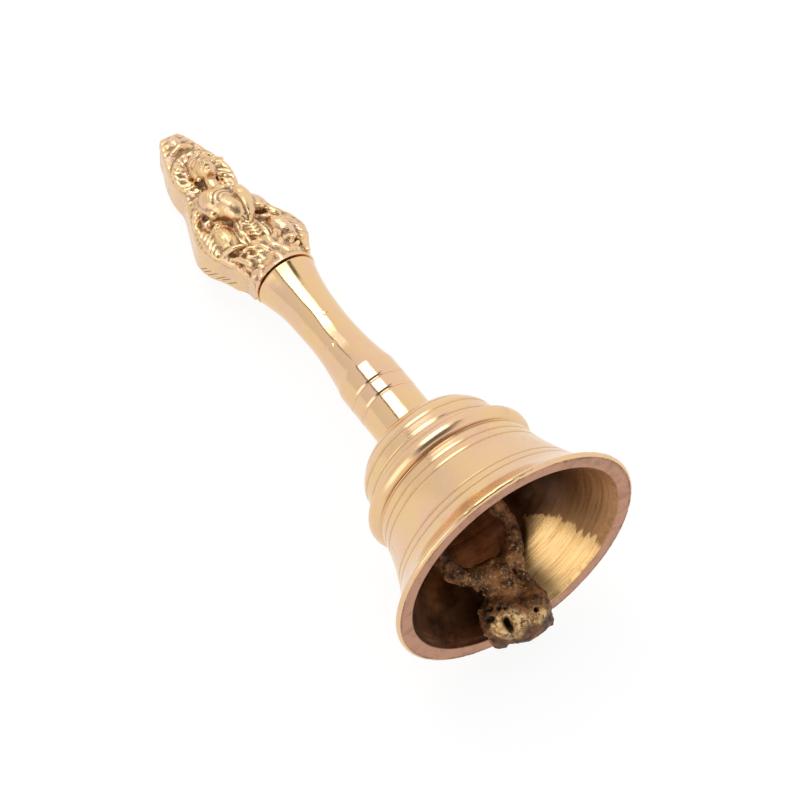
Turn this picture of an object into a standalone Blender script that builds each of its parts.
"""Brass puja bell, lying on its rim and on the back of its finial.

Every piece is drawn in the bell's own frame: origin at the centre of the mouth, +Z along the
bell's axis to the finial, -Y towards the front of the finial, in metres. One empty then lays
the whole bell down, so that the rim's lowest point and the finial's back touch Z = 0, with
the finial towards +Y and the mouth towards -Y.
"""

import math

import bmesh
import bpy
from mathutils import Matrix, Vector

MM = 0.001
GAP = 0.3 * MM

# Bell body
RIM_RADIUS = 31.95 * MM
RIM_EDGE_Z = 0.7 * MM
RIM_FACE_WIDTH = 3.9 * MM
CROWN_TOP_Z = 40.4 * MM
CROWN_UNDER_Z = 37.0 * MM
BEAD_Z = 26.6 * MM
BEAD_RADIUS = 21.8 * MM
GROOVE_DEPTH = 0.35 * MM
GROOVE_HALF_WIDTH = 0.45 * MM
CROWN_GROOVES = (37.4 * MM, 34.3 * MM, 31.3 * MM)
WALL_GROOVES = (21.6 * MM, 19.2 * MM, 10.4 * MM, 8.2 * MM)
HANDLE_GROOVES = (55.4 * MM, 51.2 * MM)
BEAD_SECTION_RADIUS = 2.3 * MM
BELL_STEPS = 40

# Handle
HANDLE_FOOT_RADIUS = 7.6 * MM
HANDLE_WAIST_RADIUS = 5.85 * MM
HANDLE_TOP_RADIUS = 7.9 * MM
HANDLE_TOP_Z = 95.4 * MM
HANDLE_STEPS = 28
SPIGOT_RADIUS = 3.0 * MM
SPIGOT_TOP_Z = 102.0 * MM

# Finial
FINIAL_FRONT_Y = -0.6 * MM
FINIAL_BACK_Y = 8.0 * MM
FINIAL_TOP_Z = 149.0 * MM

# Eyebolt, nut and washer
SHANK_RADIUS = 2.5 * MM
SHANK_TOP_Z = 53.0 * MM
EYE_RADIUS = 4.1 * MM
EYE_HOLE_RADIUS = 2.3 * MM
EYE_THICKNESS = 3.0 * MM
NUT_FLATS = 8.0 * MM
NUT_HEIGHT = 2.2 * MM
WASHER_RADIUS = 6.0 * MM
WASHER_HEIGHT = 0.9 * MM

# Clapper
PIVOT_Z = 29.0 * MM
CLAPPER_BAR_RADIUS = 1.9 * MM
BULB_OFFSET = 19.8 * MM
BULB_Z = -0.9 * MM
BULB_HALF_WIDTH = 8.6 * MM
BULB_HALF_DEPTH = 7.0 * MM
BULB_HALF_LENGTH = 7.5 * MM
LOOP_HOLE_RADIUS = 6.8 * MM
LOOP_CENTRE = 16.9 * MM

SHANK_HOLE_RADIUS = SHANK_RADIUS + GAP
CLAPPER_LENGTH = math.hypot(BULB_OFFSET, PIVOT_Z - BULB_Z)
CLAPPER_ANGLE = math.atan2(BULB_OFFSET, PIVOT_Z - BULB_Z)
LIE_ANGLE = math.atan2(RIM_RADIUS - FINIAL_BACK_Y, FINIAL_TOP_Z - RIM_EDGE_Z)


def clear_scene():
    for old in list(bpy.data.objects):
        bpy.data.objects.remove(old)


def new_collection(name, hidden=False):
    collection = bpy.data.collections.new(name)
    collection.hide_render = hidden
    bpy.context.scene.collection.children.link(collection)
    return collection


def metal(name, colour, roughness):
    material = bpy.data.materials.new(name)
    material.use_nodes = True
    shader = material.node_tree.nodes["Principled BSDF"]
    shader.inputs["Base Color"].default_value = (*colour, 1.0)
    shader.inputs["Metallic"].default_value = 1.0
    shader.inputs["Roughness"].default_value = roughness
    return material


def add_object(name, mesh, collection, parent=None, material=None):
    piece = bpy.data.objects.new(name, mesh)
    collection.objects.link(piece)
    piece.parent = parent
    if material:
        mesh.materials.append(material)
    return piece


def finish_bmesh(shape, name):
    bmesh.ops.recalc_face_normals(shape, faces=shape.faces)
    mesh = bpy.data.meshes.new(name)
    shape.to_mesh(mesh)
    shape.free()
    mesh.shade_smooth()
    mesh.set_sharp_from_angle(angle=math.radians(35))
    return mesh


def turned(name, profile, steps, closed=False):
    """A mesh object turned about its own Z from (radius, z) points that run down the outside."""
    mesh = bpy.data.meshes.new(name)
    edges = [(i, i + 1) for i in range(len(profile) - 1)]
    if closed:
        edges.append((len(profile) - 1, 0))
    mesh.from_pydata([(radius, 0.0, z) for radius, z in profile], edges, [])
    piece = bpy.data.objects.new(name, mesh)
    screw = piece.modifiers.new("turn", "SCREW")
    screw.axis = "Z"
    screw.steps = steps
    screw.render_steps = steps
    screw.use_merge_vertices = True
    screw.merge_threshold = 0.00001
    screw.use_smooth_shade = True
    return piece


def place(piece, collection, parent, material=None):
    collection.objects.link(piece)
    piece.parent = parent
    if material:
        piece.data.materials.append(material)
    return piece


def curve_through(points, per_span):
    """A smooth curve through (radius, z) points in millimetres, returned in metres."""
    guide = [Vector(p) for p in points]
    guide = [2 * guide[0] - guide[1], *guide, 2 * guide[-1] - guide[-2]]
    found = []
    for i in range(1, len(guide) - 2):
        before, here, there, after = guide[i - 1 : i + 3]
        for k in range(per_span):
            u = k / per_span
            found.append(
                0.5
                * (
                    2 * here
                    + (there - before) * u
                    + (2 * before - 5 * here + 4 * there - after) * u * u
                    + (3 * here - before - 3 * there + after) * u**3
                )
            )
    found.append(guide[-2])
    return [(p.x * MM, p.y * MM) for p in found]


def radius_at(profile, z):
    """The radius at height z on a profile whose heights fall from first to last."""
    for (r_a, z_a), (r_b, z_b) in zip(profile, profile[1:]):
        if z_b <= z <= z_a:
            share = (z_a - z) / max(z_a - z_b, 1e-9)
            return r_a + (r_b - r_a) * share
    raise ValueError(f"no radius at {z}")


def with_grooves(profile, centres):
    """The profile with a shallow V cut into it at each of the heights."""
    cut = list(profile)
    for centre in centres:
        low = centre - GROOVE_HALF_WIDTH
        high = centre + GROOVE_HALF_WIDTH
        notch = [
            (radius_at(profile, high), high),
            (radius_at(profile, centre) - GROOVE_DEPTH, centre),
            (radius_at(profile, low), low),
        ]
        above = [p for p in cut if p[1] > high]
        below = [p for p in cut if p[1] < low]
        cut = above + notch + below
    return cut


def arc(centre, radius, start, end, count):
    """Points on an arc in the profile's plane, its angles in degrees from +radius towards +z."""
    found = []
    for i in range(count):
        angle = math.radians(start + (end - start) * i / (count - 1))
        found.append((centre[0] + radius * math.cos(angle), centre[1] + radius * math.sin(angle)))
    return found


def bell_profile():
    """The bell's section: down the outside, across the rim, up the inside, across the crown."""
    crown = curve_through(
        [(9.0, 40.4), (12.2, 40.0), (14.6, 38.9), (16.4, 37.1), (17.6, 35.0), (18.0, 32.6), (18.3, 30.4)], 2
    )
    crown = with_grooves(crown, CROWN_GROOVES)
    bead = arc((BEAD_RADIUS - BEAD_SECTION_RADIUS, BEAD_Z), BEAD_SECTION_RADIUS, 68, -72, 9)
    wall = curve_through(
        [(20.7, 23.6), (21.0, 21.6), (22.1, 17.4), (23.7, 13.0), (25.6, 8.6), (28.0, 4.8), (30.9, 1.9)], 2
    )
    wall = with_grooves(wall, WALL_GROOVES)
    inner_rim = RIM_RADIUS - RIM_FACE_WIDTH
    rim = [(RIM_RADIUS, RIM_EDGE_Z), (RIM_RADIUS - 0.3 * MM, 0.0), (inner_rim, 0.0)]
    inside = curve_through(
        [(27.9, 0.4), (25.8, 3.6), (22.9, 8.6), (20.4, 13.6), (18.6, 18.6), (17.4, 23.0), (16.2, 27.0),
         (15.0, 30.6), (13.0, 34.0), (10.4, 36.2), (7.4, 37.0)], 1
    )
    hole = [(SHANK_HOLE_RADIUS, CROWN_UNDER_Z), (SHANK_HOLE_RADIUS, CROWN_TOP_Z)]
    return crown + bead + wall + rim + inside + hole


def make_bell_body(parts, parent):
    piece = turned("bell_body", bell_profile(), BELL_STEPS, closed=True)
    return place(piece, parts, parent, metal("brass_polished", (0.82, 0.52, 0.20), 0.16))


def handle_profile():
    """The handle's section: spigot, flared top, waist, corner, two grooved bands, foot, bolt hole."""
    top = [
        (0.0, SPIGOT_TOP_Z),
        (SPIGOT_RADIUS, SPIGOT_TOP_Z),
        (SPIGOT_RADIUS, HANDLE_TOP_Z),
        (HANDLE_TOP_RADIUS, HANDLE_TOP_Z),
    ]
    waist = HANDLE_WAIST_RADIUS / MM
    grip = curve_through(
        [
            (7.3, 93.0),
            (6.6, 89.6),
            (6.1, 85.4),
            (waist, 79.0),
            (5.9, 74.0),
            (6.4, 67.5),
            (7.0, 63.4),
            (7.55, 60.8),
        ],
        2,
    )
    foot_z = CROWN_TOP_Z + GAP
    foot = with_grooves([(HANDLE_FOOT_RADIUS, 60.2 * MM), (HANDLE_FOOT_RADIUS, foot_z)], HANDLE_GROOVES)
    hole_top = SHANK_TOP_Z + 2 * GAP
    hole = [(SHANK_HOLE_RADIUS, foot_z), (SHANK_HOLE_RADIUS, hole_top), (0.0, hole_top)]
    return top + grip + foot + hole


def make_handle(parts, parent):
    piece = turned("handle_grip", handle_profile(), HANDLE_STEPS)
    return place(piece, parts, parent, metal("brass_handle", (0.83, 0.54, 0.22), 0.12))


def plaque_outline():
    """The finial's uneven cast outline as (x, height) in metres, up the right side and down the left."""
    tip = FINIAL_TOP_Z / MM
    right = [(8.2, 96.2), (8.4, 97.8), (9.9, 100.6), (12.3, 105.2), (13.0, 108.2), (12.0, 112.4),
             (9.8, 116.4), (8.6, 120.7), (6.2, 124.6), (7.0, 129.5), (7.1, 134.0), (6.3, 138.6),
             (4.9, 143.0), (3.7, 146.6), (2.4, tip)]
    left = [(7.8, 97.2), (7.5, 99.4), (7.6, 102.2), (9.4, 107.0), (11.7, 111.0), (12.4, 115.2), (10.9, 120.2),
            (8.9, 125.3), (7.3, 130.0), (7.2, 135.0), (6.1, 140.0), (4.3, 144.6), (3.5, 147.2), (2.4, tip)]
    down = [(-x, z) for x, z in reversed(curve_through(left, 2))]
    return curve_through(right, 2) + down


def make_plaque(collection):
    """The finial's flat plate, an outline pushed out from its front face to its back."""
    shape = bmesh.new()
    front = [shape.verts.new((x, FINIAL_FRONT_Y, z)) for x, z in plaque_outline()]
    face = shape.faces.new(front)
    grown = bmesh.ops.extrude_face_region(shape, geom=[face])
    moved = [v for v in grown["geom"] if isinstance(v, bmesh.types.BMVert)]
    bmesh.ops.translate(shape, verts=moved, vec=(0.0, FINIAL_BACK_Y - FINIAL_FRONT_Y, 0.0))
    return add_object("plaque", finish_bmesh(shape, "plaque"), collection)


def ball(name, centre, radii, collection, segments=16, rings=10):
    """A closed ellipsoid; centre and radii in millimetres."""
    shape = bmesh.new()
    bmesh.ops.create_uvsphere(shape, u_segments=segments, v_segments=rings, radius=1.0)
    size = Matrix.Diagonal((*[r * MM for r in radii], 1.0))
    bmesh.ops.transform(shape, matrix=Matrix.Translation(Vector(centre) * MM) @ size, verts=shape.verts)
    return add_object(name, finish_bmesh(shape, name), collection)


def combine(piece, other, operation):
    modifier = piece.modifiers.new(operation.lower(), "BOOLEAN")
    modifier.operation = operation
    modifier.solver = "EXACT"
    modifier.object = other


def cylinder(name, radius, low, high, collection, segments=24):
    """A cylinder about Z between two heights."""
    shape = bmesh.new()
    bmesh.ops.create_cone(
        shape, cap_ends=True, segments=segments, radius1=radius, radius2=radius, depth=high - low
    )
    bmesh.ops.translate(shape, verts=shape.verts, vec=(0.0, 0.0, 0.5 * (low + high)))
    return add_object(name, finish_bmesh(shape, name), collection)


def make_finial(parts, helpers, parent):
    """The figure: plaque, round foot, aureole, head, shoulders, folded hands, knees and lap."""
    foot_z = HANDLE_TOP_Z + GAP
    foot = [
        (0.0, 108.0 * MM),
        (5.0 * MM, 107.0 * MM),
        (7.6 * MM, 101.0 * MM),
        (HANDLE_TOP_RADIUS, foot_z),
        (0.0, foot_z),
    ]
    figure = turned("finial_figure", foot, 24)
    place(figure, parts, parent, metal("brass_cast", (0.76, 0.50, 0.20), 0.34))
    lumps = [
        make_plaque(helpers),
        ball("aureole", (0.0, 0.6, 132.4), (6.7, 3.0, 8.2), helpers),
        ball("head", (0.0, -3.0, 132.4), (2.9, 3.2, 4.6), helpers),
        ball("torso", (0.0, 0.0, 121.6), (5.6, 4.6, 6.6), helpers),
        ball("hands", (0.0, -3.9, 119.2), (4.4, 4.2, 5.2), helpers),
        ball("knee_left", (-6.6, -1.4, 111.6), (3.2, 4.4, 5.4), helpers),
        ball("knee_right", (6.4, -1.4, 108.7), (3.2, 4.4, 4.8), helpers),
        ball("lap", (0.0, -1.4, 108.4), (5.6, 4.6, 7.0), helpers),
    ]
    for lump in lumps:
        lump.parent = parent
        combine(figure, lump, "UNION")
    socket = cylinder(
        "socket_cutter", SPIGOT_RADIUS + GAP, foot_z - 2 * MM, SPIGOT_TOP_Z + 2 * GAP, helpers
    )
    socket.parent = parent
    combine(figure, socket, "DIFFERENCE")
    return figure


def make_washer(parts, parent):
    top = CROWN_UNDER_Z - GAP
    low = top - WASHER_HEIGHT
    ring = [
        (SHANK_HOLE_RADIUS, top),
        (WASHER_RADIUS, top),
        (WASHER_RADIUS, low),
        (SHANK_HOLE_RADIUS, low),
    ]
    piece = turned("crown_washer", ring, 32, closed=True)
    place(piece, parts, parent, metal("steel_washer", (0.42, 0.38, 0.33), 0.5))
    return low


def make_nut(parts, helpers, parent, washer_low):
    top = washer_low - GAP
    low = top - NUT_HEIGHT
    corner_radius = 0.5 * NUT_FLATS / math.cos(math.radians(30))
    nut = cylinder("crown_nut", corner_radius, low, top, parts, segments=6)
    nut.parent = parent
    nut.data.materials.append(metal("steel_nut", (0.40, 0.36, 0.31), 0.45))
    hole = cylinder("nut_cutter", SHANK_HOLE_RADIUS, low - 2 * MM, top + 2 * MM, helpers)
    hole.parent = parent
    combine(nut, hole, "DIFFERENCE")


def cross_cylinder(name, radius, length, collection):
    """A cylinder along X through the hinge."""
    piece = cylinder(name, radius, -0.5 * length, 0.5 * length, collection, segments=28)
    turn = Matrix.Rotation(math.radians(90), 4, "Y")
    piece.data.transform(Matrix.Translation((0.0, 0.0, PIVOT_Z)) @ turn)
    return piece


def make_eyebolt(parts, helpers, parent):
    """The eye that the clapper hangs in, on a shank that runs up through the crown."""
    shank = [
        (0.0, SHANK_TOP_Z),
        (SHANK_RADIUS - 0.4 * MM, SHANK_TOP_Z),
        (SHANK_RADIUS, SHANK_TOP_Z - 0.6 * MM),
        (SHANK_RADIUS, PIVOT_Z + EYE_HOLE_RADIUS + 0.7 * MM),
        (0.0, PIVOT_Z + EYE_HOLE_RADIUS + 0.7 * MM),
    ]
    bolt = turned("clapper_eyebolt", shank, 28)
    place(bolt, parts, parent, metal("steel_bolt", (0.38, 0.33, 0.28), 0.48))
    eye = cross_cylinder("eye", EYE_RADIUS, EYE_THICKNESS, helpers)
    hole = cross_cylinder("eye_cutter", EYE_HOLE_RADIUS, 3 * EYE_THICKNESS, helpers)
    for helper in (eye, hole):
        helper.parent = parent
    combine(bolt, eye, "UNION")
    combine(bolt, hole, "DIFFERENCE")


def loop_route():
    """Centre line of the clapper's loop, as (x, z, bar radius) with the hinge at the origin."""
    bar = CLAPPER_BAR_RADIUS
    shoulder = 3.0 * MM
    round_radius = LOOP_HOLE_RADIUS + bar
    route = [(-shoulder, 0.0, bar), (shoulder, 0.0, bar)]
    side = []
    for i in range(9):
        angle = math.radians(22 - (22 + 90) * i / 8)
        side.append((round_radius * math.cos(angle), -LOOP_CENTRE + round_radius * math.sin(angle), bar))
    corner = (5.2 * MM, -1.9 * MM, bar)
    flank = (7.1 * MM, -7.6 * MM, bar)
    right = [corner, flank, *side]
    left = [(-x, z, r) for x, z, r in reversed(right[:-1])]
    return route + right + left


def make_loop(collection):
    """The loop as one closed bar, made a mesh so that it can be joined to the neck."""
    data = bpy.data.curves.new("loop", "CURVE")
    data.dimensions = "3D"
    data.bevel_depth = 1.0
    data.bevel_resolution = 2
    spline = data.splines.new("POLY")
    route = loop_route()
    spline.points.add(len(route) - 1)
    for point, (x, z, radius) in zip(spline.points, route):
        point.co = (x, 0.0, z, 1.0)
        point.radius = radius
    spline.use_cyclic_u = True
    curve = bpy.data.objects.new("loop_curve", data)
    collection.objects.link(curve)
    bpy.context.view_layer.update()
    evaluated = curve.evaluated_get(bpy.context.evaluated_depsgraph_get())
    mesh = bpy.data.meshes.new_from_object(evaluated)
    bpy.data.objects.remove(curve)
    shape = bmesh.new()
    shape.from_mesh(mesh)
    bmesh.ops.remove_doubles(shape, verts=shape.verts, dist=0.000001)
    return add_object("loop", finish_bmesh(shape, "loop"), collection)


def make_clapper(parts, helpers, parent):
    """One casting: loop, neck and bulb, hanging along its own -Z and swung back onto the wall."""
    hinge = bpy.data.objects.new("clapper_hinge", None)
    parts.objects.link(hinge)
    hinge.parent = parent
    hinge.location = (0.0, 0.0, PIVOT_Z)
    hinge.rotation_euler = (CLAPPER_ANGLE, 0.0, 0.0)
    hole_bottom = LOOP_CENTRE + LOOP_HOLE_RADIUS
    neck = [
        (0.0, -hole_bottom - 0.8 * MM),
        (2.6 * MM, -hole_bottom - 0.8 * MM),
        (4.4 * MM, -hole_bottom - 2.6 * MM),
        (4.9 * MM, -CLAPPER_LENGTH + 2.0 * MM),
        (0.0, -CLAPPER_LENGTH + 2.0 * MM),
    ]
    clapper = turned("clapper", neck, 20)
    place(clapper, parts, hinge, metal("cast_bronze", (0.34, 0.21, 0.09), 0.62))
    loop = make_loop(helpers)
    bulb = ball(
        "bulb",
        (0.0, 0.0, -CLAPPER_LENGTH / MM),
        (BULB_HALF_WIDTH / MM, BULB_HALF_DEPTH / MM, BULB_HALF_LENGTH / MM),
        helpers,
        segments=20,
        rings=12,
    )
    for helper in (loop, bulb):
        helper.parent = hinge
        combine(clapper, helper, "UNION")


def lay_down(bell_axis):
    """Turn the bell onto its side, centred over the origin, rim and finial touching Z = 0."""
    mouth_height = RIM_RADIUS * math.cos(LIE_ANGLE) + RIM_EDGE_Z * math.sin(LIE_ANGLE)
    bell_axis.rotation_euler = (-(math.radians(90) + LIE_ANGLE), 0.0, 0.0)
    bell_axis.location = (0.0, 0.0, mouth_height)
    bpy.context.view_layer.update()
    graph = bpy.context.evaluated_depsgraph_get()
    depths = []
    for piece in bpy.data.collections["puja_bell"].objects:
        if piece.type == "MESH":
            solid = piece.evaluated_get(graph)
            depths += [(solid.matrix_world @ v.co).y for v in solid.data.vertices]
    bell_axis.location.y = -0.5 * (min(depths) + max(depths))


def main():
    clear_scene()
    parts = new_collection("puja_bell")
    helpers = new_collection("puja_bell_cutters", hidden=True)
    bell_axis = bpy.data.objects.new("bell_axis", None)
    parts.objects.link(bell_axis)
    make_bell_body(parts, bell_axis)
    make_handle(parts, bell_axis)
    make_finial(parts, helpers, bell_axis)
    washer_low = make_washer(parts, bell_axis)
    make_nut(parts, helpers, bell_axis, washer_low)
    make_eyebolt(parts, helpers, bell_axis)
    make_clapper(parts, helpers, bell_axis)
    for helper in helpers.objects:
        helper.hide_render = True
        helper.display_type = "WIRE"
    lay_down(bell_axis)


main()
